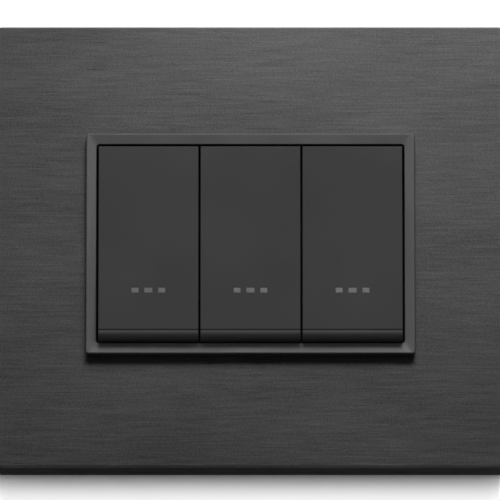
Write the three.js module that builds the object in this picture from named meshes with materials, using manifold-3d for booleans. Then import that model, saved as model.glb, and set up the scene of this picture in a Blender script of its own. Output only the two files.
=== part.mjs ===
// A three-module rocker switch set behind a brushed metal wall plate cover, as it hangs on a wall.
// Millimetres. +Z is up, -Y faces the room, +Y goes into the wall, and y = 0 is the wall's surface.
// The origin is the middle of the plate on the wall's surface.
import * as THREE from "three";
import { mergeVertices } from "three/addons/utils/BufferGeometryUtils.js";
import Module from "manifold-3d";

const wasm = await Module();
wasm.setup();

// Driving dimensions.
const MODULES = 3;
const MODULE_PITCH = 22.5;
const OPENING = { width: MODULES * MODULE_PITCH + 0.5, height: 45.2, corner: 0.6 };
const PLATE = { width: 112, height: 100.1, corner: 1.0, front: -9, back: -2.7, sheet: 1.1, edge: 0.35 };
const TRIM = { width: 72.5, height: 50, corner: 1.0, front: -11.9, edge: 0.3, slope: 0.3 };
const SCREW_SPACING = 83.5;
const KEY_TILT = THREE.MathUtils.degToRad(4.4);
const BLADE_TILT = THREE.MathUtils.degToRad(8);
const ROUND = 16; // sides of the smaller round features

// Depths of the layers behind the plate.
const TRIM_GAP = 0.15;
const CARRIER = { front: PLATE.front + PLATE.sheet + 0.1, plate: 1.5, rim: 1.6, gap: 0.1, footInset: 0.3 };
const FLANGE = { front: CARRIER.front + CARRIER.plate + 0.1, thick: 1, lip: 2.1 };
const FRAME = { width: 106, height: 69.8, front: -2.6, back: -0.4, collar: -3.4, collarWall: 1.8, windowGap: 0.2 };

// One switch module. Rocker sizes are counted from the rocker's axis, blade sizes from the blade's.
const ROCKER_AXIS_Y = -9;
const KEY = { width: 22.05, top: 22, bottom: -22.15, face: -4.2, lipTop: -20.85, lipRadius: 1.1, back: 2.2, wall: 1.1, skin: 1.4 };
const WINDOW = { z: -11.56, height: 1.12, sideWidth: 1.53, midWidth: 1.77, spacing: 2.95, gap: 0.06 };
const LEVER = { halfWidth: 7.3, halfHeight: 16.8, front: -2.65, back: -1.2, hub: 2, stem: 2.9, end: 14 };
const TRUNNION = { radius: 1.2, from: 7.6, to: 9.4, play: 0.15 };
const BORE = { radius: 2.05, from: 3.4 };
const BLADE_AXIS_Y = 9.2;
const BLADE = { halfWidth: 2.6, halfHeight: 10.2, front: -0.9, back: -0.2, tipZ: 8.4, tipRadius: 1.5 };
const COVER = { halfWidth: 11.1, halfHeight: 22.3, front: -4, back: 3, floor: 1.6, wall: 1.2 };
const BOX = { halfWidth: 11, halfHeight: 18, front: 3.2, back: 25, wall: 1.3 };
const TERMINAL = { halfWidth: 5.6, inner: 9.8, outer: 16.2, front: 16, back: 23, hole: 1.55, wireX: 3.3, wireZ: 13 };
const TERMINAL_SCREW = { y: 19.5, shank: 1.4, head: 2.5, headHeight: 1.3 };

// ---- Solids -------------------------------------------------------------------------------------

// A closed three.js geometry as a manifold solid.
function solid(geometry) {
  const bare = geometry.index ? geometry.toNonIndexed() : geometry.clone();
  bare.deleteAttribute("normal");
  bare.deleteAttribute("uv");
  const merged = mergeVertices(bare, 1e-4);
  return new wasm.Manifold(
    new wasm.Mesh({
      numProp: 3,
      vertProperties: new Float32Array(merged.attributes.position.array),
      triVerts: new Uint32Array(merged.index.array),
    }),
  );
}

function geometryOf(body) {
  const mesh = body.getMesh();
  const geometry = new THREE.BufferGeometry();
  geometry.setAttribute("position", new THREE.BufferAttribute(mesh.vertProperties, 3));
  geometry.setIndex(new THREE.BufferAttribute(mesh.triVerts, 1));
  geometry.computeVertexNormals();
  return geometry;
}

const join = (first, ...rest) => rest.reduce((sum, part) => sum.add(part), first);
const cut = (first, ...rest) => rest.reduce((left, part) => left.subtract(part), first);

// A box between two values on each axis.
function block([x0, x1], [y0, y1], [z0, z1]) {
  const geometry = new THREE.BoxGeometry(x1 - x0, y1 - y0, z1 - z0);
  return solid(geometry.translate((x0 + x1) / 2, (y0 + y1) / 2, (z0 + z1) / 2));
}

// A shape drawn in x and z, from depth y0 to y1.
function slabY(shape, y0, y1, segments = 4) {
  const settings = { depth: y1 - y0, bevelEnabled: false, curveSegments: segments };
  return solid(new THREE.ExtrudeGeometry(shape, settings).rotateX(Math.PI / 2).translate(0, y1, 0));
}

// A shape drawn in y and z, from x0 to x1.
function slabX(shape, x0, x1, segments = 10) {
  const settings = { depth: x1 - x0, bevelEnabled: false, curveSegments: segments };
  const turn = new THREE.Matrix4().makeBasis(
    new THREE.Vector3(0, 1, 0),
    new THREE.Vector3(0, 0, 1),
    new THREE.Vector3(1, 0, 0),
  );
  return solid(new THREE.ExtrudeGeometry(shape, settings).applyMatrix4(turn).translate(x0, 0, 0));
}

// A round bar along an axis, between two values on it, centred on the other two in x, y, z order.
function bar(axis, from, to, radius, [a, b], sides = ROUND) {
  const geometry = new THREE.CylinderGeometry(radius, radius, to - from, sides);
  const middle = (from + to) / 2;
  if (axis === "x") return solid(geometry.rotateZ(-Math.PI / 2).translate(middle, a, b));
  if (axis === "y") return solid(geometry.translate(a, middle, b));
  return solid(geometry.rotateX(Math.PI / 2).translate(a, b, middle));
}

// A profile of [radius, depth] points turned about a line along y at (x, z).
function turned(profile, x, z, sides = ROUND) {
  const points = profile.map(([radius, depth]) => new THREE.Vector2(radius, depth));
  const geometry = new THREE.LatheGeometry(points, sides).translate(x, 0, z);
  const made = solid(geometry);
  return made.volume() < 0 ? solid(flipped(geometry)) : made;
}

function flipped(geometry) {
  const index = geometry.index.array.slice();
  for (let i = 0; i < index.length; i += 3) {
    const kept = index[i];
    index[i] = index[i + 1];
    index[i + 1] = kept;
  }
  const turnedRound = geometry.clone();
  turnedRound.setIndex(new THREE.BufferAttribute(index, 1));
  return turnedRound;
}

function roundedRectangle(width, height, radius) {
  const [w, h] = [width / 2, height / 2];
  const shape = new THREE.Shape();
  shape.moveTo(-w + radius, -h);
  shape.lineTo(w - radius, -h);
  shape.absarc(w - radius, -h + radius, radius, -Math.PI / 2, 0);
  shape.lineTo(w, h - radius);
  shape.absarc(w - radius, h - radius, radius, 0, Math.PI / 2);
  shape.lineTo(-w + radius, h);
  shape.absarc(-w + radius, h - radius, radius, Math.PI / 2, Math.PI);
  shape.lineTo(-w, -h + radius);
  shape.absarc(-w + radius, -h + radius, radius, Math.PI, 1.5 * Math.PI);
  return shape;
}

function polygon(points) {
  return new THREE.Shape(points.map(([a, b]) => new THREE.Vector2(a, b)));
}

// A rounded rectangular block whose front edge is rounded off by `edge`.
function softFrontSlab(width, height, corner, front, back, edge) {
  const settings = {
    depth: back - front,
    bevelThickness: edge,
    bevelSize: edge,
    bevelOffset: -edge,
    bevelSegments: 3,
    curveSegments: 4,
  };
  const shape = roundedRectangle(width, height, corner);
  const geometry = new THREE.ExtrudeGeometry(shape, settings).rotateX(Math.PI / 2);
  const whole = solid(geometry.translate(0, back + edge, 0));
  const behind = block([-width, width], [back, back + 4 * edge], [-height, height]);
  return whole.subtract(behind);
}

// ---- Plate cover --------------------------------------------------------------------------------

const plateOpening = roundedRectangle(
  TRIM.width + 2 * TRIM_GAP,
  TRIM.height + 2 * TRIM_GAP,
  TRIM.corner + TRIM_GAP,
);
const moduleOpening = roundedRectangle(OPENING.width, OPENING.height, OPENING.corner);

// The metal skin: a flat face with folded sides that stop just short of the wall.
function facePlate() {
  const { width, height, corner, front, back, sheet, edge } = PLATE;
  const inside = roundedRectangle(width - 2 * sheet, height - 2 * sheet, corner / 2);
  return cut(
    softFrontSlab(width, height, corner, front, back, edge),
    slabY(inside, front + sheet, 1),
    slabY(plateOpening, front - 1, front + 2 * sheet),
  );
}

// Half of the carrier's outside width and height.
const carrierHalf = {
  x: PLATE.width / 2 - PLATE.sheet - CARRIER.gap,
  z: PLATE.height / 2 - PLATE.sheet - CARRIER.gap,
};
const CLIP = { x: 30, halfWidth: 4, gap: 0.4, thick: 1.3, end: -0.3, barb: 0.2, barbLength: 0.7 };
const RIB = { xs: [-46, -16, 16, 46], thick: 1.2, back: -1.6 };

// The moulded tray behind the metal skin. Its foot stands on the wall just inside the skin's outline,
// and four sprung clips run along the mounting frame's edges.
function plateCarrier() {
  const { x, z } = carrierHalf;
  const plateBack = CARRIER.front + CARRIER.plate;
  const tray = slabY(roundedRectangle(2 * x, 2 * z, 0.5), CARRIER.front, 0);
  const { width, height, corner, back } = PLATE;
  const inset = CARRIER.footInset;
  const foot = slabY(roundedRectangle(width - 2 * inset, height - 2 * inset, corner), back + 0.15, 0);
  const hollow = roundedRectangle(2 * (x - CARRIER.rim), 2 * (z - CARRIER.rim), 0.5);
  const body = cut(
    join(tray, foot),
    slabY(hollow, plateBack, 1),
    slabY(plateOpening, CARRIER.front - 1, plateBack + 1),
  );
  const extras = [];
  const frameEdge = FRAME.height / 2;
  for (const side of [-1, 1]) {
    const across = (from, to) => (side > 0 ? [from, to] : [-to, -from]);
    for (const ribX of RIB.xs) {
      const zs = across(frameEdge + 3, z - CARRIER.rim + 0.5);
      extras.push(block([ribX - RIB.thick / 2, ribX + RIB.thick / 2], [plateBack - 0.5, RIB.back], zs));
    }
    for (const clipX of [-CLIP.x, CLIP.x]) {
      const xs = [clipX - CLIP.halfWidth, clipX + CLIP.halfWidth];
      const armFrom = frameEdge + CLIP.gap;
      extras.push(block(xs, [plateBack - 0.5, CLIP.end], across(armFrom, armFrom + CLIP.thick)));
      const barb = [CLIP.end - CLIP.barbLength, CLIP.end];
      extras.push(block(xs, barb, across(armFrom - CLIP.barb, armFrom + 0.5)));
    }
  }
  return join(body, ...extras);
}

// The inner bezel round the rocker keys. Its flange holds it from behind, and its front slopes inwards.
function trimBezel() {
  const { width, height, corner, front, edge, slope } = TRIM;
  const flangeBack = FLANGE.front + FLANGE.thick;
  const neck = softFrontSlab(width, height, corner, front, FLANGE.front + 0.3, edge);
  const flange = slabY(
    roundedRectangle(width + 2 * FLANGE.lip, height + 2 * FLANGE.lip, corner),
    FLANGE.front,
    flangeBack,
  );
  const rim = 2 * (edge + 0.35);
  const funnel = frustum(
    { width: width - rim, height: height - rim, y: front },
    { width: OPENING.width, height: OPENING.height, y: front + slope },
  );
  return cut(join(neck, flange), slabY(moduleOpening, front - 1, flangeBack + 1), funnel);
}

// A block whose front and back are two centred rectangles of different sizes.
function frustum(frontFace, backFace) {
  const corners = (face) => {
    const [w, h] = [face.width / 2, face.height / 2];
    return [[-w, -h], [w, -h], [w, h], [-w, h]].map(([x, z]) => [x, face.y, z]);
  };
  const vertices = [...corners(frontFace), ...corners(backFace)].flat();
  const faces = [0, 1, 2, 0, 2, 3, 4, 6, 5, 4, 7, 6];
  for (let i = 0; i < 4; i++) {
    const j = (i + 1) % 4;
    faces.push(i, i + 4, j, j, i + 4, j + 4);
  }
  const geometry = new THREE.BufferGeometry();
  geometry.setAttribute("position", new THREE.Float32BufferAttribute(vertices, 3));
  geometry.setIndex(faces);
  return solid(geometry);
}

// ---- Mounting frame and its screws --------------------------------------------------------------

const SLOT = { length: 9, width: 4.2 };
const LEDGE = { y: -1.5, reach: 0.9 };
const RIDGE = { front: -3.4, thick: 1.4, inset: 1.2 };
const PAD = { x: 46, z: 28, size: 8 };
const POCKET = { z: 17, size: 11, floor: -1.4 };

function rectangleRing(outerWidth, outerHeight, corner, wall, front, back) {
  const outer = roundedRectangle(outerWidth, outerHeight, corner);
  const inner = roundedRectangle(outerWidth - 2 * wall, outerHeight - 2 * wall, 0.6);
  return cut(slabY(outer, front, back, 3), slabY(inner, front - 1, back + 1, 1));
}

// The frame that screws to the wall box and holds the modules. Only its four pads touch the wall.
function mountingFrame() {
  const { width, height, front, back, collar, collarWall, windowGap } = FRAME;
  const windowWidth = OPENING.width + 2 * windowGap;
  const windowHeight = OPENING.height + 2 * windowGap;
  const outerWindow = [windowWidth + 2 * collarWall, windowHeight + 2 * collarWall];
  const ridgeSize = [width - 2 * RIDGE.inset, height - 2 * RIDGE.inset];
  const solids = [
    rectangleRing(...outerWindow, 1, collarWall, collar, back),
    rectangleRing(...ridgeSize, 3, RIDGE.thick, RIDGE.front, front + 0.2),
  ];
  const holes = [slabY(roundedRectangle(windowWidth, windowHeight, 0.4), front - 1, 1, 1)];
  const slot = slabY(roundedRectangle(SLOT.length, SLOT.width, SLOT.width / 2 - 0.01), front - 1, 1, 5);
  for (const side of [-1, 1]) {
    holes.push(slot.translate([(side * SCREW_SPACING) / 2, 0, 0]));
    for (const up of [-1, 1]) {
      // Pockets above and below each slot, where the moulding is thinned, and the pads behind them.
      const pocket = slabY(roundedRectangle(POCKET.size, POCKET.size, 1), front - 1, POCKET.floor, 1);
      holes.push(pocket.translate([(side * SCREW_SPACING) / 2, 0, up * POCKET.z]));
      const pad = slabY(roundedRectangle(PAD.size, PAD.size, 1), back - 0.2, 0, 2);
      solids.push(pad.translate([side * PAD.x, 0, up * PAD.z]));
    }
    // Undercuts along the upper and lower edge for the cover's clips.
    for (const clipX of [-CLIP.x, CLIP.x]) {
      const zs = [height / 2 - LEDGE.reach, height / 2 + 1];
      const edgeZs = side > 0 ? zs : [-zs[1], -zs[0]];
      holes.push(block([clipX - 5, clipX + 5], [LEDGE.y, 1], edgeZs));
    }
  }
  return cut(join(slabY(roundedRectangle(width, height, 4), front, back, 3), ...solids), ...holes);
}

const BOX_SCREW = { head: 3.4, headHeight: 1.9, shank: 1.7, end: 20, seat: 0.1, recess: 1.1 };

// A pan-head screw through one of the frame's slots, with a cross recess.
function boxScrew(x) {
  const seatY = FRAME.front - BOX_SCREW.seat;
  const front = seatY - BOX_SCREW.headHeight;
  const { head, shank, end, recess } = BOX_SCREW;
  const profile = [
    [0, front], [head * 0.6, front + 0.12], [head * 0.9, front + 0.6], [head, front + 1.2], [head, seatY],
    [shank, seatY], [shank, end - 1.6], [0.5, end], [0, end],
  ];
  const cross = [[2.1, 0.45], [0.45, 2.1]].map(([w, h]) => block([x - w, x + w], [front - 1, front + recess], [-h, h]));
  return cut(turned(profile, x, 0), ...cross);
}

// ---- Rocker: key, light window, lever, spring and plunger, about the rocker's axis ---------------

// The key's outline in y and z. The lower end steps in and then rounds back like a lip.
function keyOutline(grow = 0) {
  const { top, bottom, face, lipTop, lipRadius, back } = KEY;
  const shape = new THREE.Shape();
  const step = 0.3;
  const lipY = face + step + lipRadius;
  shape.moveTo(back, bottom - grow);
  shape.lineTo(lipY, bottom - grow);
  shape.absarc(lipY, bottom + lipRadius, lipRadius + grow, 1.5 * Math.PI, Math.PI, true);
  shape.lineTo(face + step - grow, lipTop + 0.1);
  shape.lineTo(face - grow, lipTop + 0.3);
  shape.lineTo(face - grow, top - 0.3 + grow);
  shape.lineTo(face + 0.3 - grow, top + grow);
  shape.lineTo(back, top + grow);
  return shape;
}

function keyWindows(gap) {
  const half = WINDOW.height / 2 - gap;
  const zs = [WINDOW.z - half, WINDOW.z + half];
  return [-1, 0, 1].map((i) => {
    const halfWidth = (i === 0 ? WINDOW.midWidth : WINDOW.sideWidth) / 2 - gap;
    const x = i * WINDOW.spacing;
    return { xs: [x - halfWidth, x + halfWidth], zs };
  });
}

function rockerKey() {
  const { width, top, bottom, face, back, wall, skin, lipTop } = KEY;
  const outer = slabX(keyOutline(), -width / 2, width / 2, 8);
  const inner = polygon([
    [back + 1, bottom + wall],
    [0.4, bottom + wall],
    [face + skin + 0.6, lipTop + 0.4],
    [face + skin, lipTop + 1.4],
    [face + skin, top - wall],
    [back + 1, top - wall],
  ]);
  const hollow = slabX(inner, -width / 2 + wall, width / 2 - wall);
  const windows = keyWindows(0).map(({ xs, zs }) => block(xs, [face - 1, face + skin + 1], zs));
  const shell = cut(outer, hollow, ...windows);
  // Two tongues hold the lever's ends.
  const tongues = [-1, 1].map((side) => {
    const zs = [LEVER.halfHeight + 0.3, LEVER.halfHeight + 1.5].map((value) => side * value);
    return block([-3, 3], [face + skin - 0.5, LEVER.back + 1], side > 0 ? zs : zs.reverse());
  });
  return join(shell, ...tongues);
}

// One clear moulding whose three prongs fill the key's windows.
function lightWindow() {
  const { face, skin } = KEY;
  const back = face + skin + 0.1;
  const plate = block([-4.2, 4.2], [back, LEVER.back - 0.1], [WINDOW.z - 1.2, WINDOW.z + 1.2]);
  const prongs = keyWindows(WINDOW.gap).map(({ xs, zs }) => block(xs, [face + 0.03, back + 0.4], zs));
  return join(plate, ...prongs);
}

// The lever under the key: a plate, a hub with two trunnions, and a hollow stem for the spring.
function rockerLever() {
  const { halfWidth, halfHeight, front, back, hub, stem, end } = LEVER;
  const plate = block([-halfWidth, halfWidth], [front, back], [-halfHeight, halfHeight]);
  const lightHole = block([-4.6, 4.6], [front - 1, back + 1], [WINDOW.z - 1.6, WINDOW.z + 1.6]);
  const ribs = [-1, 1].map((side) => {
    const slope = polygon([[back - 0.5, side * 3], [back - 0.5, side * 14], [back + 0.9, side * 14], [4, side * 2]]);
    return slabX(side > 0 ? slope : polygon(slope.getPoints().reverse().map((p) => [p.x, p.y])), 5.4, 6.6);
  });
  const mirroredRibs = ribs.map((rib) => rib.mirror([1, 0, 0]));
  return cut(
    join(
      plate.subtract(lightHole),
      ...ribs,
      ...mirroredRibs,
      bar("x", -TRUNNION.from, TRUNNION.from, hub, [0, 0]),
      bar("x", -TRUNNION.to, TRUNNION.to, TRUNNION.radius, [0, 0]),
      bar("y", back - 0.5, end, stem, [0, 0]),
    ),
    bar("y", BORE.from, end + 1, BORE.radius, [0, 0]),
  );
}

const SPRING = { radius: 1.45, wire: 0.28, turns: 5, from: 3.8, to: 9.6, steps: 8 };

class Helix extends THREE.Curve {
  getPoint(t, target = new THREE.Vector3()) {
    const angle = 2 * Math.PI * SPRING.turns * t;
    const y = THREE.MathUtils.lerp(SPRING.from, SPRING.to, t);
    return target.set(SPRING.radius * Math.cos(angle), y, SPRING.radius * Math.sin(angle));
  }
}

function plungerSpring() {
  const section = new THREE.Shape();
  section.absarc(0, 0, SPRING.wire, 0, 2 * Math.PI);
  const geometry = new THREE.ExtrudeGeometry(section, {
    steps: SPRING.turns * SPRING.steps,
    extrudePath: new Helix(),
    curveSegments: 3,
    bevelEnabled: false,
  });
  return solid(geometry);
}

function springPlunger() {
  const neck = 1.15;
  const profile = [
    [0, 10], [1.9, 10], [1.9, 12], [neck, 12.4], [neck, 16.3], [neck * 0.8, 16.7], [neck * 0.4, 16.95], [0, 17],
  ];
  return turned(profile, 0, 0, 16);
}

// ---- Contacts, about the blade's axis, and terminals, in the module's frame ----------------------

function contactTip(z, from, to) {
  const edge = to > from ? to - 0.4 : to + 0.4;
  const { tipRadius } = BLADE;
  return turned([[0, from], [tipRadius, from], [tipRadius, edge], [tipRadius * 0.6, to], [0, to]], 0, z, 16);
}

function contactBlade() {
  const { halfWidth, halfHeight, front, back, tipZ } = BLADE;
  const strip = block([-halfWidth, halfWidth], [front, back], [-halfHeight, halfHeight]);
  return join(strip, contactTip(tipZ, back - 0.2, 0.75));
}

// The clamp block of a terminal, with two wire holes from behind and a screw hole from its end.
function clampBlock(side) {
  const { halfWidth, inner, outer, front, back, hole, wireX, wireZ } = TERMINAL;
  const zs = side > 0 ? [inner, outer] : [-outer, -inner];
  const screwZs = side > 0 ? [inner + 1.2, outer + 1] : [-outer - 1, -inner - 1.2];
  return cut(
    block([-halfWidth, halfWidth], [front, back], zs),
    bar("y", front + 1, back + 1, hole, [-wireX, side * wireZ]),
    bar("y", front + 1, back + 1, hole, [wireX, side * wireZ]),
    bar("z", screwZs[0], screwZs[1], hole, [0, TERMINAL_SCREW.y]),
  );
}

// The terminal whose edge the blade rocks on, with a lug on each side of the blade.
function commonTerminal() {
  const top = BLADE_AXIS_Y + 0.15;
  const lugs = [-1, 1].map((side) => {
    const xs = [BLADE.halfWidth + 0.3, BLADE.halfWidth + 1.1].map((value) => side * value);
    return block(side > 0 ? xs : xs.reverse(), [7.9, 12], [-1.2, 1.2]);
  });
  return join(
    block([-2.6, 2.6], [top, 12], [-0.7, 0.7]),
    block([-3.7, 3.7], [11, 16], [-0.7, 0.7]),
    block([-3.7, 3.7], [15.2, 16.2], [-11.5, 0.7]),
    clampBlock(-1),
    ...lugs,
  );
}

function loadTerminal() {
  return join(
    contactTip(BLADE.tipZ, 12.5, 11.3),
    block([-2.6, 2.6], [12.3, 13.1], [6.2, 11.5]),
    block([-2.6, 2.6], [12.3, 16.4], [10.7, 11.5]),
    clampBlock(1),
  );
}

// A terminal screw along z, with a slot across its head.
function terminalScrew(side) {
  const { y, shank, head, headHeight } = TERMINAL_SCREW;
  const headZ = TERMINAL.outer + 0.4;
  const made = join(
    bar("z", headZ, headZ + headHeight, head, [0, y]),
    bar("z", headZ - 2.4, headZ + 0.2, shank, [0, y]),
  );
  const slotted = made.subtract(block([-head, head], [y - 0.35, y + 0.35], [headZ + 0.5, headZ + 3]));
  return side > 0 ? slotted : slotted.mirror([0, 0, 1]);
}

// ---- Module housings ----------------------------------------------------------------------------

// The front half of a mechanism: a tray with two cheeks that carry the lever's trunnions.
function mechanismCover() {
  const { halfWidth, halfHeight, front, back, floor, wall } = COVER;
  const tray = cut(
    block([-halfWidth, halfWidth], [front, back], [-halfHeight, halfHeight]),
    block([-halfWidth + wall, halfWidth - wall], [front - 1, back - floor], [-halfHeight + 1.6, halfHeight - 1.6]),
    block([-4.2, 4.2], [front - 1, back + 1], [-5.6, 5.6]),
  );
  const cheek = new THREE.Shape();
  cheek.moveTo(back - floor + 0.4, -3.4);
  cheek.lineTo(ROCKER_AXIS_Y, -2.1);
  cheek.absarc(ROCKER_AXIS_Y, 0, 2.1, -Math.PI / 2, Math.PI / 2, true);
  cheek.lineTo(back - floor + 0.4, 3.4);
  const eye = bar("x", -20, 20, TRUNNION.radius + TRUNNION.play, [ROCKER_AXIS_Y, 0]);
  const leaf = slabX(cheek, 8, 9.5, 6);
  const parts = [leaf, leaf.mirror([1, 0, 0])];
  for (const side of [-1, 1]) {
    const across = (from, to) => (side > 0 ? [from, to] : [-to, -from]);
    // A ledge behind the frame and a small catch in front of its collar.
    parts.push(block([-halfWidth, halfWidth], [-0.1, 1.4], across(halfHeight - 0.5, 23.8)));
    parts.push(block([-3, 3], [front, FRAME.collar - 0.2], across(halfHeight - 0.5, 23.2)));
    // A sprung tongue with an eye that snaps over the rear box's nub.
    const tongue = block([-3.6, 3.6], [back - 0.5, 9.4], across(18.3, 19.3));
    parts.push(tongue.subtract(block([-2.1, 2.1], [4.8, 7.6], across(17, 21))));
  }
  return cut(join(tray, ...parts), eye);
}

// The rear box: it holds the terminals, with wire holes behind and screw holes above and below.
function mechanismBox() {
  const { halfWidth, halfHeight, front, back, wall } = BOX;
  const outline = polygon([
    [front, -halfHeight], [back - 3, -halfHeight], [back, -halfHeight + 3],
    [back, halfHeight - 3], [back - 3, halfHeight], [front, halfHeight],
  ]);
  const shell = slabX(outline, -halfWidth, halfWidth);
  const hollow = block(
    [-halfWidth + wall, halfWidth - wall],
    [front - 1, back - 1.6],
    [-halfHeight + wall, halfHeight - wall],
  );
  const corner = polygon([[back - 3.4, halfHeight], [back, halfHeight], [back, halfHeight - 3.4]]);
  const chamferWall = slabX(corner, -halfWidth, halfWidth);
  const insideCorner = block([-20, 20], [back - 6, back - 1.6], [halfHeight - 6, halfHeight - wall]);
  const filled = chamferWall.intersect(insideCorner);
  const holes = [];
  const nubs = [];
  for (const side of [-1, 1]) {
    for (const x of [-TERMINAL.wireX, TERMINAL.wireX]) {
      holes.push(bar("y", back - 3, back + 1, 1.7, [x, side * TERMINAL.wireZ]));
    }
    const zs = side > 0 ? [halfHeight - 3, halfHeight + 1] : [-halfHeight - 1, -halfHeight + 3];
    holes.push(bar("z", zs[0], zs[1], 2.8, [0, TERMINAL_SCREW.y]));
    const nub = side > 0 ? [halfHeight - 0.5, halfHeight + 1] : [-halfHeight - 1, -halfHeight + 0.5];
    nubs.push(block([-1.7, 1.7], [5.2, 7.2], nub));
    // Ribs on both side walls that hold the clamp block.
    const rib = [TERMINAL.halfWidth + 0.2, halfWidth - wall + 0.3];
    const ribZs = side > 0 ? [11, 15] : [-15, -11];
    nubs.push(block(rib, [14, back - 1], ribZs), block([-rib[1], -rib[0]], [14, back - 1], ribZs));
  }
  return cut(join(shell.subtract(hollow), filled, filled.mirror([0, 0, 1]), ...nubs), ...holes);
}

// ---- Materials and assembly ---------------------------------------------------------------------

function finish(color, roughness, metalness = 0) {
  return new THREE.MeshStandardMaterial({ color, roughness, metalness });
}

const FINISHES = {
  brushed: finish(0x4a4a4b, 0.42, 0.9),
  bezel: finish(0x3c3c3d, 0.45),
  key: finish(0x2c2c2d, 0.6),
  window: finish(0x707274, 0.35),
  black: finish(0x161617, 0.6),
  frame: finish(0x2a2b2d, 0.7),
  lever: finish(0xd9d7cf, 0.5),
  housing: finish(0xb9bbbb, 0.6),
  brass: finish(0xb8923e, 0.3, 1),
  copper: finish(0xb5764a, 0.3, 1),
  zinc: finish(0xbfc1c2, 0.3, 1),
  steel: finish(0x9a9ca0, 0.3, 1),
};

function piece(name, body, material) {
  const mesh = new THREE.Mesh(geometryOf(body), FINISHES[material]);
  mesh.name = name;
  return mesh;
}

const wallSwitch = new THREE.Group();
wallSwitch.add(
  piece("face_plate", facePlate(), "brushed"),
  piece("plate_carrier", plateCarrier(), "black"),
  piece("trim_bezel", trimBezel(), "bezel"),
  piece("mounting_frame", mountingFrame(), "frame"),
  piece("box_screw_left", boxScrew(-SCREW_SPACING / 2), "zinc"),
  piece("box_screw_right", boxScrew(SCREW_SPACING / 2), "zinc"),
);

for (let i = 0; i < MODULES; i++) {
  const number = i + 1;
  const module = new THREE.Group();
  module.position.x = (i - (MODULES - 1) / 2) * MODULE_PITCH;

  // At rest the lower end of each key stands out, so the rocker is turned backwards at its top.
  const rocker = new THREE.Group();
  rocker.position.y = ROCKER_AXIS_Y;
  rocker.rotation.x = -KEY_TILT;
  rocker.add(
    piece(`rocker_key_${number}`, rockerKey(), "key"),
    piece(`light_window_${number}`, lightWindow(), "window"),
    piece(`rocker_lever_${number}`, rockerLever(), "lever"),
    piece(`plunger_spring_${number}`, plungerSpring(), "steel"),
    piece(`spring_plunger_${number}`, springPlunger(), "lever"),
  );

  const blade = new THREE.Group();
  blade.position.y = BLADE_AXIS_Y;
  blade.rotation.x = BLADE_TILT;
  blade.add(piece(`contact_blade_${number}`, contactBlade(), "copper"));

  module.add(
    rocker,
    blade,
    piece(`mechanism_cover_${number}`, mechanismCover(), "black"),
    piece(`mechanism_box_${number}`, mechanismBox(), "housing"),
    piece(`common_terminal_${number}`, commonTerminal(), "brass"),
    piece(`load_terminal_${number}`, loadTerminal(), "brass"),
    piece(`common_screw_${number}`, terminalScrew(-1), "zinc"),
    piece(`load_screw_${number}`, terminalScrew(1), "zinc"),
  );
  wallSwitch.add(module);
}

export default wallSwitch;
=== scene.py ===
"""Looks of the wall plate cover and its rocker switches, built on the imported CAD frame.
Metres. +Z is up, -Y faces the room, and y = 0 is the wall's surface."""

import math

import bmesh
import bpy
from mathutils import Matrix, Vector


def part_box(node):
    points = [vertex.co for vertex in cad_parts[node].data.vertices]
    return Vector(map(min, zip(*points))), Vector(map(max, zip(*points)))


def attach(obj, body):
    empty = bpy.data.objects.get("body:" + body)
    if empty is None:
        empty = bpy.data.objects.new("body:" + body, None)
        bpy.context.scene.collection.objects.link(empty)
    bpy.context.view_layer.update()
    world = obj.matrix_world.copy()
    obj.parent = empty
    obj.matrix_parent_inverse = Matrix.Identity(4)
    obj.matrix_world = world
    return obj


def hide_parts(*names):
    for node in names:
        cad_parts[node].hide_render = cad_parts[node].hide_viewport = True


MM = 0.001
MODULES = (1, 2, 3)

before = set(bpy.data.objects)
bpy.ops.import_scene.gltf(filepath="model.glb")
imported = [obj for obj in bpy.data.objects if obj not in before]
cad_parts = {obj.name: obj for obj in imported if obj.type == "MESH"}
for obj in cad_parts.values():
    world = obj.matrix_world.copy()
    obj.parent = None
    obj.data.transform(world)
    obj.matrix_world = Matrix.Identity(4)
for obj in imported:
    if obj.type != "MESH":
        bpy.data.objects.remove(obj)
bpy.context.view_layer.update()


# ---- Materials ------------------------------------------------------------------------------------


# The values that most of a noise lies between.
NOISE_RANGE = (0.3, 0.7)


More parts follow.
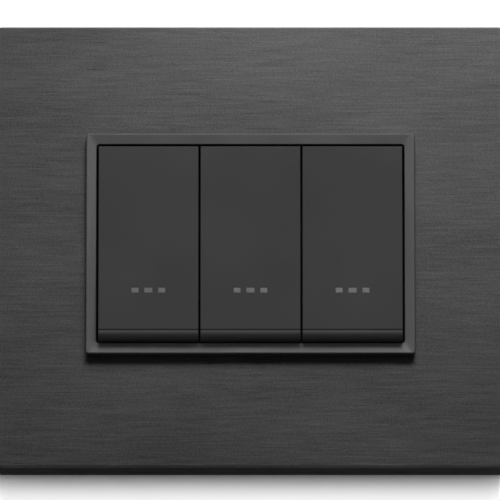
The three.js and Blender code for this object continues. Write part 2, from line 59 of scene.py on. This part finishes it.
class Material:
    """A node material in object coordinates. Its steps add to the shader's sockets."""

    def __init__(self, name, color, roughness, metallic=0.0, specular=0.5, edge=1.0):
        self.data = bpy.data.materials.new(name)
        self.data.use_nodes = True
        self.nodes = self.data.node_tree.nodes
        self.links = self.data.node_tree.links
        self.shader = self.nodes["Principled BSDF"]
        self.color = color
        self.shader.inputs["Base Color"].default_value = (*color, 1.0)
        self.shader.inputs["Roughness"].default_value = roughness
        self.shader.inputs["Metallic"].default_value = metallic
        self.shader.inputs["Specular IOR Level"].default_value = specular
        self.shader.inputs["Specular Tint"].default_value = (edge, edge, edge, 1.0)
        self.data.diffuse_color = (*color, 1.0)
        self.coordinates = self.nodes.new("ShaderNodeTexCoord").outputs["Object"]
        self.bumps = None

    def noise(self, scale, detail=3.0, roughness=0.55, offset=(0.0, 0.0, 0.0)):
        """Noise whose scale is in waves per metre along x, y and z."""
        mapping = self.nodes.new("ShaderNodeMapping")
        mapping.inputs["Scale"].default_value = scale
        mapping.inputs["Location"].default_value = offset
        self.links.new(self.coordinates, mapping.inputs["Vector"])
        texture = self.nodes.new("ShaderNodeTexNoise")
        texture.inputs["Scale"].default_value = 1.0
        texture.inputs["Detail"].default_value = detail
        texture.inputs["Roughness"].default_value = roughness
        self.links.new(mapping.outputs["Vector"], texture.inputs["Vector"])
        return texture.outputs["Fac"]

    def ramp(self, value, low, high, to_low=0.0, to_high=1.0):
        """Maps the range from low to high onto the range from to_low to to_high, and clamps it."""
        node = self.nodes.new("ShaderNodeMapRange")
        node.inputs["From Min"].default_value = low
        node.inputs["From Max"].default_value = high
        node.inputs["To Min"].default_value = to_low
        node.inputs["To Max"].default_value = to_high
        self.links.new(value, node.inputs["Value"])
        return node.outputs["Result"]

    def math(self, operation, a, b):
        """A math node of two inputs, each a number or another node's output."""
        node = self.nodes.new("ShaderNodeMath")
        node.operation = operation
        for socket, value in zip(node.inputs, (a, b)):
            if isinstance(value, (int, float)):
                socket.default_value = value
            else:
                self.links.new(value, socket)
        return node.outputs[0]

    def color_by(self, value, dark, light):
        """Base colour between two colours, by a value from 0 to 1."""
        node = self.nodes.new("ShaderNodeMix")
        node.data_type = "RGBA"
        node.inputs["A"].default_value = (*dark, 1.0)
        node.inputs["B"].default_value = (*light, 1.0)
        self.links.new(value, node.inputs["Factor"])
        self.links.new(node.outputs["Result"], self.shader.inputs["Base Color"])

    def paint_shade_below(self, factor):
        """Painted shade: multiplies the base colour by a factor on the faces that look down."""
        split = self.nodes.new("ShaderNodeSeparateXYZ")
        self.links.new(self.coordinates.node.outputs["Normal"], split.inputs[0])
        node = self.nodes.new("ShaderNodeMix")
        node.data_type = "RGBA"
        socket = self.shader.inputs["Base Color"]
        # Mask of the down-facing faces that get the painted shade.
        painted_shade_mask = self.ramp(split.outputs["Z"], -0.5, -0.95)
        self.links.new(painted_shade_mask, node.inputs["Factor"])
        self.links.new(socket.links[0].from_socket, node.inputs["A"])
        node.inputs["B"].default_value = (*scaled(self.color, factor), 1.0)
        self.links.new(node.outputs["Result"], socket)

    def roughness_by(self, value, low, high):
        """Roughness between low and high, by the middle part of a noise."""
        mapped = self.ramp(value, *NOISE_RANGE, low, high)
        self.links.new(mapped, self.shader.inputs["Roughness"])

    def bump_by(self, value, distance, strength=1.0):
        """Adds a bump of `distance` metres on top of any bump that is there."""
        node = self.nodes.new("ShaderNodeBump")
        node.inputs["Distance"].default_value = distance
        node.inputs["Strength"].default_value = strength
        self.links.new(value, node.inputs["Height"])
        if self.bumps is not None:
            self.links.new(self.bumps, node.inputs["Normal"])
        self.bumps = node.outputs["Normal"]
        self.links.new(self.bumps, self.shader.inputs["Normal"])


def scaled(color, factor):
    """The colour with every channel multiplied by the factor."""
    return tuple(channel * factor for channel in color)


def brushed_metal(name, color):
    """Metal brushed along x: short fine hairlines, a few darker scratches, and soft clouds."""
    made = Material(name, color, 0.42, metallic=1.0, edge=0.0)
    hairs = made.noise((110, 4200, 4200), detail=4, roughness=0.65)
    bands = made.noise((25, 1500, 1500), detail=3, roughness=0.6, offset=(3.1, 0.7, 5.3))
    grain = made.noise((2600, 3000, 3000), detail=2, roughness=0.6, offset=(1.7, 2.9, 4.1))
    scratches = made.noise((110, 4000, 4000), detail=1, offset=(7.3, 1.1, 6.5))
    cloud = made.noise((22, 70, 70), detail=3, offset=(9.0, 4.0, 2.0))
    streaks = made.math("MULTIPLY", hairs, 0.45)
    streaks = made.math("ADD", streaks, made.math("MULTIPLY", bands, 0.1))
    streaks = made.math("ADD", streaks, made.math("MULTIPLY", grain, 0.45))
    clouding = made.math("MULTIPLY", made.math("SUBTRACT", cloud, 0.5), 0.18)
    tone = made.math("ADD", streaks, clouding)
    tone = made.math("SUBTRACT", tone, made.ramp(scratches, 0.68, 0.8, 0.0, 0.2))
    made.color_by(made.ramp(tone, *NOISE_RANGE), scaled(color, 0.46), scaled(color, 1.57))
    made.roughness_by(streaks, 0.37, 0.48)
    made.bump_by(hairs, 0.00001, 0.4)
    return made.data


def moulded_plastic(
    name, color, roughness, grain=0.000012, waves=4200, specular=0.5, below=None
):
    """Moulded plastic with a fine spark-eroded grain and slightly uneven gloss.
    `below` paints shade on its underside: the base colour there is multiplied by that factor."""
    made = Material(name, color, roughness, specular=specular)
    grain_noise = made.noise((waves, waves, waves), detail=2, roughness=0.6)
    cloud = made.noise((60, 60, 60), detail=3, offset=(2.0, 5.0, 8.0))
    made.color_by(made.ramp(cloud, *NOISE_RANGE), scaled(color, 0.93), scaled(color, 1.07))
    made.roughness_by(cloud, roughness - 0.05, roughness + 0.06)
    made.bump_by(grain_noise, grain, 0.7)
    # Painted shade on the faces that look down.
    if below is not None:
        made.paint_shade_below(below)
    return made.data


def plated_metal(name, color, roughness, tint=0.85):
    """Plated or rolled metal with faint drawing marks and dull patches."""
    made = Material(name, color, roughness, metallic=1.0)
    marks = made.noise((900, 6000, 900), detail=3)
    patches = made.noise((220, 220, 220), detail=4, roughness=0.65, offset=(1.0, 7.0, 3.0))
    made.color_by(made.ramp(patches, 0.35, 0.65), scaled(color, tint), color)
    made.roughness_by(patches, roughness - 0.06, roughness + 0.16)
    made.bump_by(marks, 0.000012, 0.6)
    return made.data


def light_plastic(name, color):
    """Translucent light-guide plastic."""
    made = Material(name, color, 0.35)
    cloud = made.noise((900, 900, 900), detail=2)
    made.color_by(made.ramp(cloud, *NOISE_RANGE), scaled(color, 0.9), scaled(color, 1.1))
    made.shader.inputs["Subsurface Weight"].default_value = 0.2
    made.shader.inputs["Subsurface Radius"].default_value = (0.0005, 0.0005, 0.0005)
    made.shader.inputs["Subsurface Scale"].default_value = 0.5
    return made.data


MATERIALS = {
    "plate_metal": brushed_metal("plate_metal", (0.0616, 0.0616, 0.063)),
    # The bezel's underside gets painted shade: its base colour is darkened there.
    "bezel_plastic": moulded_plastic(
        "bezel_plastic", (0.07, 0.07, 0.071), 0.47, specular=0.45, below=0.15
    ),
    "key_plastic": moulded_plastic("key_plastic", (0.0235, 0.0235, 0.024), 0.6, specular=0.25),
    "window_plastic": light_plastic("window_plastic", (0.062, 0.063, 0.065)),
    "carrier_plastic": moulded_plastic("carrier_plastic", (0.01, 0.01, 0.0105), 0.7, specular=0.1),
    "frame_plastic": moulded_plastic("frame_plastic", (0.02, 0.021, 0.023), 0.55, 0.00003, 1800),
    "cover_plastic": moulded_plastic("cover_plastic", (0.015, 0.015, 0.016), 0.45),
    "box_plastic": moulded_plastic("box_plastic", (0.42, 0.43, 0.43), 0.5, 0.00002, 2600),
    "lever_plastic": moulded_plastic("lever_plastic", (0.62, 0.6, 0.55), 0.45),
    "terminal_brass": plated_metal("terminal_brass", (0.62, 0.44, 0.16), 0.3),
    "contact_copper": plated_metal("contact_copper", (0.6, 0.32, 0.17), 0.32),
    "screw_zinc": plated_metal("screw_zinc", (0.6, 0.61, 0.62), 0.32),
    "spring_steel": plated_metal("spring_steel", (0.45, 0.45, 0.46), 0.28),
}


# ---- Mesh helpers ---------------------------------------------------------------------------------


def new_object(name, data):
    made = bpy.data.objects.new(name, data)
    bpy.context.scene.collection.objects.link(made)
    return made


def built_object(name, build):
    """An object from a finished bmesh, which is freed."""
    mesh = bpy.data.meshes.new(name)
    build.to_mesh(mesh)
    build.free()
    return new_object(name, mesh)


def smooth(obj):
    for polygon in obj.data.polygons:
        polygon.use_smooth = True


def soften(obj, width, angle=28.0, segments=2):
    """Merges flat facets, rounds the edges by `width` metres and smooths the shading."""
    flat = obj.modifiers.new("flat", "DECIMATE")
    flat.decimate_type = "DISSOLVE"
    flat.angle_limit = math.radians(1.0)
    bevel = obj.modifiers.new("edges", "BEVEL")
    bevel.width = width
    bevel.segments = segments
    bevel.limit_method = "ANGLE"
    bevel.angle_limit = math.radians(angle)
    bevel.miter_outer = "MITER_ARC"
    bevel.harden_normals = True
    smooth(obj)


def dress(obj, slot, body=None, node=None):
    """Gives a piece its material. A new piece also rides on a body and replaces a CAD node."""
    obj.data.materials.clear()
    obj.data.materials.append(MATERIALS[slot])
    if body:
        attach(obj, body)
    if node:
        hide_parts(node)
    return obj


def rounded_loop(width, height, radius, steps=6):
    """Points (x, z) anticlockwise round a rounded rectangle, in millimetres."""
    points = []
    for sx, sz, start in ((1, -1, -90), (1, 1, 0), (-1, 1, 90), (-1, -1, 180)):
        cx = sx * (width / 2 - radius)
        cz = sz * (height / 2 - radius)
        for i in range(steps + 1):
            angle = math.radians(start + 90 * i / steps)
            points.append((cx + radius * math.cos(angle), cz + radius * math.sin(angle)))
    return points


def ring_mesh(name, loops, steps=6):
    """A closed ring through rounded rectangles, each given as (width, height, radius, y).
    The last one is joined to the first."""
    build = bmesh.new()
    rings = []
    for width, height, radius, y in loops:
        outline = rounded_loop(width, height, max(radius, 0.02), steps)
        rings.append([build.verts.new((x * MM, y * MM, z * MM)) for x, z in outline])
    count = len(rings[0])
    for a, b in zip(rings, rings[1:] + rings[:1]):
        for i in range(count):
            j = (i + 1) % count
            build.faces.new((a[i], a[j], b[j], b[i]))
    bmesh.ops.recalc_face_normals(build, faces=build.faces)
    return built_object(name, build)


def shade_by_angle(obj, degrees=35.0):
    """Smooth shading with the larger faces kept flat."""
    smooth(obj)
    sharp = math.radians(degrees)
    build = bmesh.new()
    build.from_mesh(obj.data)
    for edge in build.edges:
        edge.smooth = len(edge.link_faces) == 2 and edge.calc_face_angle(0) < sharp
    build.to_mesh(obj.data)
    build.free()
    weighted = obj.modifiers.new("weighted", "WEIGHTED_NORMAL")
    weighted.keep_sharp = True


def fillet(width, height, radius, y, edge, steps=6):
    """Loops that round a front edge by `edge`, from the side wall to the front face at y."""
    loops = []
    for i in range(steps + 1):
        angle = math.radians(90 * i / steps)
        inset = edge * (1 - math.cos(angle))
        depth = y + edge * (1 - math.sin(angle))
        loops.append((width - 2 * inset, height - 2 * inset, radius - inset * 0.7, depth))
    return loops


def inner_fillet(width, height, radius, y, edge, steps=4):
    """Loops that round the edge of an opening, from the face at y into the opening's wall."""
    loops = []
    for i in range(steps + 1):
        angle = math.radians(90 * i / steps)
        grow = edge * (1 - math.sin(angle))
        depth = y + edge * (1 - math.cos(angle))
        loops.append((width + 2 * grow, height + 2 * grow, radius + grow, depth))
    return loops


def size_mm(node):
    """The low and high corners of a CAD node's box, in millimetres."""
    low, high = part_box(node)
    return low / MM, high / MM


# ---- Face plate and bezel -------------------------------------------------------------------------

# Millimetres: width, height and corner radius.
PLATE_OPENING = (72.6, 50.1, 0.65)
BEZEL_RIM = (72.5, 50.0, 0.6)
BEZEL_OPENING = (68.0, 45.2, 0.7)
SHEET = 1.1
FLANGE = 1.0
CORNER = 1.0


def face_plate():
    """The metal skin: a tray with folded sides and an opening for the bezel."""
    low, high = size_mm("face_plate")
    width, height = high.x - low.x, high.z - low.z
    front, back = low.y, high.y
    inside = (width - 2 * SHEET, height - 2 * SHEET, 0.5)
    loops = [(width, height, CORNER, back), (width, height, CORNER, back - 0.4)]
    loops += fillet(width, height, CORNER, front, 0.35, 8)
    loops += [(width - 1.2, height - 1.2, 0.5, front)]
    loops += [(PLATE_OPENING[0] + 0.8, PLATE_OPENING[1] + 0.8, 1.3, front)]
    loops += inner_fillet(*PLATE_OPENING, front, 0.04)
    loops += [(*PLATE_OPENING, front + SHEET), (*inside, front + SHEET), (*inside, back)]
    made = ring_mesh("plate_skin", loops, 8)
    shade_by_angle(made)
    return dress(made, "plate_metal", "cover", "face_plate")


def trim_bezel():
    """The raised rim round the keys, with the flange that the skin holds down."""
    low, high = size_mm("trim_bezel")
    flange = (high.x - low.x, high.z - low.z, CORNER)
    front, back = low.y, high.y
    step = back - FLANGE
    loops = [(*flange, back), (*flange, step), (*BEZEL_RIM, step)]
    loops += fillet(*BEZEL_RIM, front, 0.3, 6)
    loops += inner_fillet(*BEZEL_OPENING, front + 0.28, 0.15)
    loops += [(*BEZEL_OPENING, back)]
    made = ring_mesh("bezel_skin", loops, 8)
    shade_by_angle(made)
    return dress(made, "bezel_plastic", "cover", "trim_bezel")


# ---- Rocker keys ----------------------------------------------------------------------------------

# Millimetres, in the key's own upright frame, about the axis that it turns on.
AXIS_Y = -9.0
TILT = math.radians(-4.4)
KEY = {
    "width": 22.05, "top": 22.0, "bottom": -22.35, "face": -4.2, "lip": -20.7, "back": 2.2
}
BEAD_RADIUS = 1.0
SIDE_RADIUS = 0.13
KEY_WALL = 1.1
HOLLOW_HALF_WIDTH = 9.9
# Each window's middle in x, and its width.
WINDOWS = ((-2.95, 1.53), (0.0, 1.77), (2.95, 1.53))
WINDOW_Z = -11.56
WINDOW_HEIGHT = 1.12
WINDOW_GAP = 0.015


def arc(cy, cz, radius, start, end, steps):
    """Points (y, z) on a circle between two angles in degrees."""
    points = []
    for i in range(steps + 1):
        angle = math.radians(start + (end - start) * i / steps)
        points.append((cy + radius * math.cos(angle), cz + radius * math.sin(angle)))
    return points


def key_profile():
    """The key's outline in (y, z), from the back of the lip round to the back of the top.
    The lip is a bead that rolls under, with a shallow groove between it and the face."""
    face, top, bottom, lip = KEY["face"], KEY["top"], KEY["bottom"], KEY["lip"]
    bead = arc(face + 0.09 + BEAD_RADIUS, bottom + BEAD_RADIUS, BEAD_RADIUS, 262, 174, 14)
    cove = [(face + 0.17, lip - 0.25), (face + 0.2, lip - 0.1), (face + 0.19, lip)]
    edge = arc(face + 0.2, lip + 0.24, 0.2, 225, 180, 4)
    head = arc(face + 0.35, top - 0.35, 0.35, 180, 90, 6)
    return [(KEY["back"], bottom), *bead, *cove, *edge, *head, (KEY["back"], top)]


def inset_outline(points, distance):
    """Moves each point of an open outline inwards, towards the key's middle, along its normal."""
    moved = []
    for i, (y, z) in enumerate(points):
        ay, az = points[max(i - 1, 0)]
        by, bz = points[min(i + 1, len(points) - 1)]
        ty, tz = by - ay, bz - az
        length = math.hypot(ty, tz) or 1.0
        moved.append((y + distance * tz / length, z - distance * ty / length))
    return moved


def key_mesh(name):
    """The outline swept across the key and rounded towards both sides. It is still solid."""
    build = bmesh.new()
    outline = key_profile()
    half = KEY["width"] / 2
    steps = 4
    rows = []
    for i in range(steps + 1):
        angle = math.radians(90 * i / steps)
        x = -half + SIDE_RADIUS * (1 - math.cos(angle))
        rows.append((x, SIDE_RADIUS * (1 - math.sin(angle))))
    rows += [(-x, inset) for x, inset in reversed(rows)]
    grid = []
    for x, inset in rows:
        section = inset_outline(outline, inset)
        grid.append([build.verts.new((x * MM, y * MM, z * MM)) for y, z in section])
    for a, b in zip(grid, grid[1:]):
        for i in range(len(outline) - 1):
            build.faces.new((a[i], a[i + 1], b[i + 1], b[i]))
    for column in (grid[0], grid[-1]):
        build.faces.new(column)
    back = [row[0] for row in grid] + [row[-1] for row in reversed(grid)]
    build.faces.new(back)
    bmesh.ops.recalc_face_normals(build, faces=build.faces)
    return built_object(name, build)


def stretch(corners, spans):
    """Moves the corners of a cube about the origin onto a block's corners."""
    for vert in corners:
        vert.co = [
            (low if value < 0 else high) * MM for (low, high), value in zip(spans, vert.co)
        ]


def box_object(name, xs, ys, zs):
    """A block between two values in x, y and z, in millimetres."""
    build = bmesh.new()
    bmesh.ops.create_cube(build, size=1.0)
    stretch(build.verts, (xs, ys, zs))
    bmesh.ops.recalc_face_normals(build, faces=build.faces)
    return built_object(name, build)


def cut_away(obj, tools):
    """Cuts the tools out of the object's mesh, and removes them."""
    for tool in tools:
        boolean = obj.modifiers.new("cut", "BOOLEAN")
        boolean.operation = "DIFFERENCE"
        boolean.solver = "EXACT"
        boolean.object = tool
    graph = bpy.context.evaluated_depsgraph_get()
    mesh = bpy.data.meshes.new_from_object(obj.evaluated_get(graph))
    obj.modifiers.clear()
    obj.data = mesh
    for tool in tools:
        bpy.data.objects.remove(tool)


def key_place(number):
    """The matrix that puts a key's own frame at its axis, tilted as it is at rest."""
    center = sum(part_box(f"rocker_key_{number}"), Vector()) / 2
    return Matrix.Translation((center.x, AXIS_Y * MM, 0)) @ Matrix.Rotation(TILT, 4, "X")


def rocker_key(number):
    """A hollow shell with three windows through its face."""
    made = key_mesh(f"key_skin_{number}")
    face, lip = KEY["face"], KEY["lip"]
    beyond = KEY["back"] + 1
    xs = (-HOLLOW_HALF_WIDTH, HOLLOW_HALF_WIDTH)
    tools = [
        box_object("hollow", xs, (face + 1.4, beyond), (lip + 1.2, KEY["top"] - KEY_WALL)),
        box_object("hollow_low", xs, (0.4, beyond), (KEY["bottom"] + KEY_WALL, lip + 1.3)),
    ]
    zs = (WINDOW_Z - WINDOW_HEIGHT / 2, WINDOW_Z + WINDOW_HEIGHT / 2)
    for x, width in WINDOWS:
        xs = (x - width / 2, x + width / 2)
        tools.append(box_object("window", xs, (face - 1, face + 3), zs))
    cut_away(made, tools)
    made.data.transform(key_place(number))
    shade_by_angle(made, 30)
    return dress(made, "key_plastic", f"rocker_{number}", f"rocker_key_{number}")


def light_window(number):
    """One clear moulding: a plate behind the key with three prongs that fill its windows."""
    face = KEY["face"]
    half_height = WINDOW_HEIGHT / 2 - WINDOW_GAP
    zs = (WINDOW_Z - half_height, WINDOW_Z + half_height)
    blocks = [((-4.2, 4.2), (face + 1.5, -1.3), (WINDOW_Z - 1.2, WINDOW_Z + 1.2))]
    for x, width in WINDOWS:
        xs = (x - width / 2 + WINDOW_GAP, x + width / 2 - WINDOW_GAP)
        blocks.append((xs, (face + 0.01, face + 1.6), zs))
    build = bmesh.new()
    for spans in blocks:
        stretch(bmesh.ops.create_cube(build, size=1.0)["verts"], spans)
    made = built_object(f"window_prongs_{number}", build)
    made.data.transform(key_place(number))
    return dress(made, "window_plastic", f"rocker_{number}", f"light_window_{number}")


# ---- Parts shown from CAD, with their edges rounded ----------------------------------------------

# Material and edge rounding in millimetres, by the node's name without its number.
CAD_LOOKS = {
    "plate_carrier": ("carrier_plastic", 0.2),
    "mounting_frame": ("frame_plastic", 0.2),
    "box_screw_left": ("screw_zinc", 0.08),
    "box_screw_right": ("screw_zinc", 0.08),
    "rocker_lever": ("lever_plastic", 0.15),
    "plunger_spring": ("spring_steel", 0.0),
    "spring_plunger": ("lever_plastic", 0.1),
    "contact_blade": ("contact_copper", 0.08),
    "mechanism_cover": ("cover_plastic", 0.18),
    "mechanism_box": ("box_plastic", 0.2),
    "common_terminal": ("terminal_brass", 0.12),
    "load_terminal": ("terminal_brass", 0.12),
    "common_screw": ("screw_zinc", 0.08),
    "load_screw": ("screw_zinc", 0.08),
}


def dress_cad_parts():
    """Dresses every CAD node that no piece above replaces."""
    for name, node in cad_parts.items():
        if node.hide_render:
            continue
        kind = name if name in CAD_LOOKS else name.rsplit("_", 1)[0]
        slot, edge = CAD_LOOKS[kind]
        dress(node, slot)
        if edge:
            soften(node, edge * MM)
        else:
            smooth(node)


face_plate()
trim_bezel()
for number in MODULES:
    rocker_key(number)
    light_window(number)
dress_cad_parts()


# ---- Stage, light and camera ----------------------------------------------------------------------


UPRIGHT = (math.radians(90), 0, 0)


def plane(name, half_width, half_height, place, turn=(0, 0, 0)):
    build = bmesh.new()
    bmesh.ops.create_grid(build, x_segments=1, y_segments=1, size=1.0)
    made = built_object(name, build)
    made.scale = (half_width, half_height, 1)
    made.location = place
    made.rotation_euler = turn
    return made


def one_sided_paint(name, shade):
    """Paint that shows from its front only and lets light through, so that the object stays
    in view, and lit, from behind the wall and under the floor."""
    material = bpy.data.materials.new(name)
    material.use_nodes = True
    nodes, links = material.node_tree.nodes, material.node_tree.links
    paint = nodes["Principled BSDF"]
    paint.inputs["Base Color"].default_value = (shade, shade, shade, 1)
    paint.inputs["Roughness"].default_value = 0.8
    paint.inputs["Specular IOR Level"].default_value = 0.2
    clear = nodes.new("ShaderNodeBsdfTransparent")
    geometry = nodes.new("ShaderNodeNewGeometry")
    path = nodes.new("ShaderNodeLightPath")
    either = nodes.new("ShaderNodeMath")
    either.operation = "MAXIMUM"
    links.new(geometry.outputs["Backfacing"], either.inputs[0])
    links.new(path.outputs["Is Shadow Ray"], either.inputs[1])
    mix = nodes.new("ShaderNodeMixShader")
    links.new(either.outputs[0], mix.inputs["Fac"])
    links.new(paint.outputs[0], mix.inputs[1])
    links.new(clear.outputs[0], mix.inputs[2])
    links.new(mix.outputs[0], nodes["Material Output"].inputs["Surface"])
    return material


def wall():
    made = plane("stage_wall", 1.5, 1.4, (0, 0.0004, 0), UPRIGHT)
    made.data.materials.append(one_sided_paint("stage_wall", 0.95))
    return made


def wall_box_shade():
    """A near-black sheet behind the mounting frame: painted shade standing in for the dark inside of
    the wall box.
    """
    made = plane("stage_box_shade", 0.05, 0.033, (0, 0.0002, 0), UPRIGHT)
    made.data.materials.append(one_sided_paint("stage_box_shade", 0.01))
    return made


def floor():
    made = plane("stage_floor", 6, 6, (0, 0, -1.6))
    made.data.materials.append(one_sided_paint("stage_floor", 0.8))
    return made


def looking_along(direction):
    """The turn that points a light or a camera along a direction, with its top up."""
    return direction.to_track_quat("-Z", "Y").to_euler()


def area_light(name, place, target, size, power, spread=180):
    data = bpy.data.lights.new(name, "AREA")
    data.shape = "RECTANGLE"
    data.size, data.size_y = size
    data.energy = power
    data.spread = math.radians(spread)
    made = new_object(name, data)
    made.location = place
    made.rotation_euler = looking_along(Vector(target) - Vector(place))
    return made


def studio_world(front, around, behind, below):
    """White behind everything. It lights the object from the sides and from above, and less
    from the front, from behind and from below."""
    world = bpy.data.worlds.new("studio")
    bpy.context.scene.world = world
    world.use_nodes = True
    nodes, links = world.node_tree.nodes, world.node_tree.links
    background = nodes["Background"]
    direction = nodes.new("ShaderNodeTexCoord")
    glow = None
    # Direction, where along it the light starts and stops changing, and its level at the start.
    limits = (
        ((0, -0.97, 0.24), 0.7, 0.15, front),
        ((0, -0.97, 0.24), -0.3, 0.0, behind),
        ((0, -0.3, 0.95), -0.5, 0.2, below),
    )
    for toward, start, end, level in limits:
        facing = nodes.new("ShaderNodeVectorMath")
        facing.operation = "DOT_PRODUCT"
        facing.inputs[1].default_value = toward
        links.new(direction.outputs["Generated"], facing.inputs[0])
        step = nodes.new("ShaderNodeMapRange")
        step.inputs["From Min"].default_value = start
        step.inputs["From Max"].default_value = end
        step.inputs["To Min"].default_value = level
        step.inputs["To Max"].default_value = around
        links.new(facing.outputs["Value"], step.inputs["Value"])
        if glow is None:
            glow = step.outputs["Result"]
            continue
        least = nodes.new("ShaderNodeMath")
        least.operation = "MINIMUM"
        links.new(glow, least.inputs[0])
        links.new(step.outputs["Result"], least.inputs[1])
        glow = least.outputs[0]
    path = nodes.new("ShaderNodeLightPath")
    mix = nodes.new("ShaderNodeMix")
    mix.inputs["B"].default_value = 1.0
    links.new(path.outputs["Is Camera Ray"], mix.inputs["Factor"])
    links.new(glow, mix.inputs["A"])
    links.new(mix.outputs["Result"], background.inputs["Strength"])
    background.inputs["Color"].default_value = (1, 1, 1, 1)


def light_only(light, *objects):
    """The light falls on these objects alone. The rest still cast their shadows in it."""
    group = bpy.data.collections.new(light.name + "_receivers")
    for obj in objects:
        group.objects.link(obj)
    light.light_linking.receiver_collection = group


# Lights: name, place, the point lit, size, power in watts, spread in degrees.
stage_wall = wall()
# Painted shade: a near-black sheet where the wall box's inside lies.
wall_box_shade()
floor()
studio_world(0.035, 0.43, 0.06, 0.12)
area_light("top_key", (0.025, -0.18, 0.2), (0.01, 0, 0.03), (0.1, 0.06), 0.031, 100)
area_light("top_fill", (0.035, -0.3, 0.165), (0.01, 0, 0), (0.1, 0.07), 0.0505, 100)
area_light("high_box", (0.1, -1.2, 1.1), (0, 0, 0), (1.0, 0.6), 2.1, 60)
area_light("left_box", (-1.3, -0.9, 0), (0, 0, 0), (0.3, 0.6), 0.2, 50)
area_light("right_box", (1.3, -0.9, 0), (0, 0, 0), (0.3, 0.6), 0.25, 50)
area_light("back_box", (0.3, 1.1, 0.5), (0, 0, 0), (0.9, 0.9), 14.0)
light_only(area_light("wall_box", (0.1, -1.5, 0.42), (0, 0, 0), (1.1, 1.05), 4.8, 70), stage_wall)

bpy.context.scene.view_settings.view_transform = "Standard"

LENS = 1200.0
SENSOR = 36.0
# Metres across the picture at the point aimed at, and the camera's angle above the object.
VIEW_WIDTH = 0.1104
ELEVATION = math.radians(-13.9)
camera_data = bpy.data.cameras.new("camera")
camera_data.lens = LENS
camera_data.sensor_width = SENSOR
camera_data.clip_start = 0.01
camera_data.clip_end = 20.0
camera = new_object("camera", camera_data)
aim = Vector((-0.0001, -0.008, -0.0006))
distance = LENS / SENSOR * VIEW_WIDTH
away = Vector((0.0, -math.cos(ELEVATION), math.sin(ELEVATION)))
camera.location = aim + away * distance
camera.rotation_euler = looking_along(-away)
bpy.context.scene.camera = camera
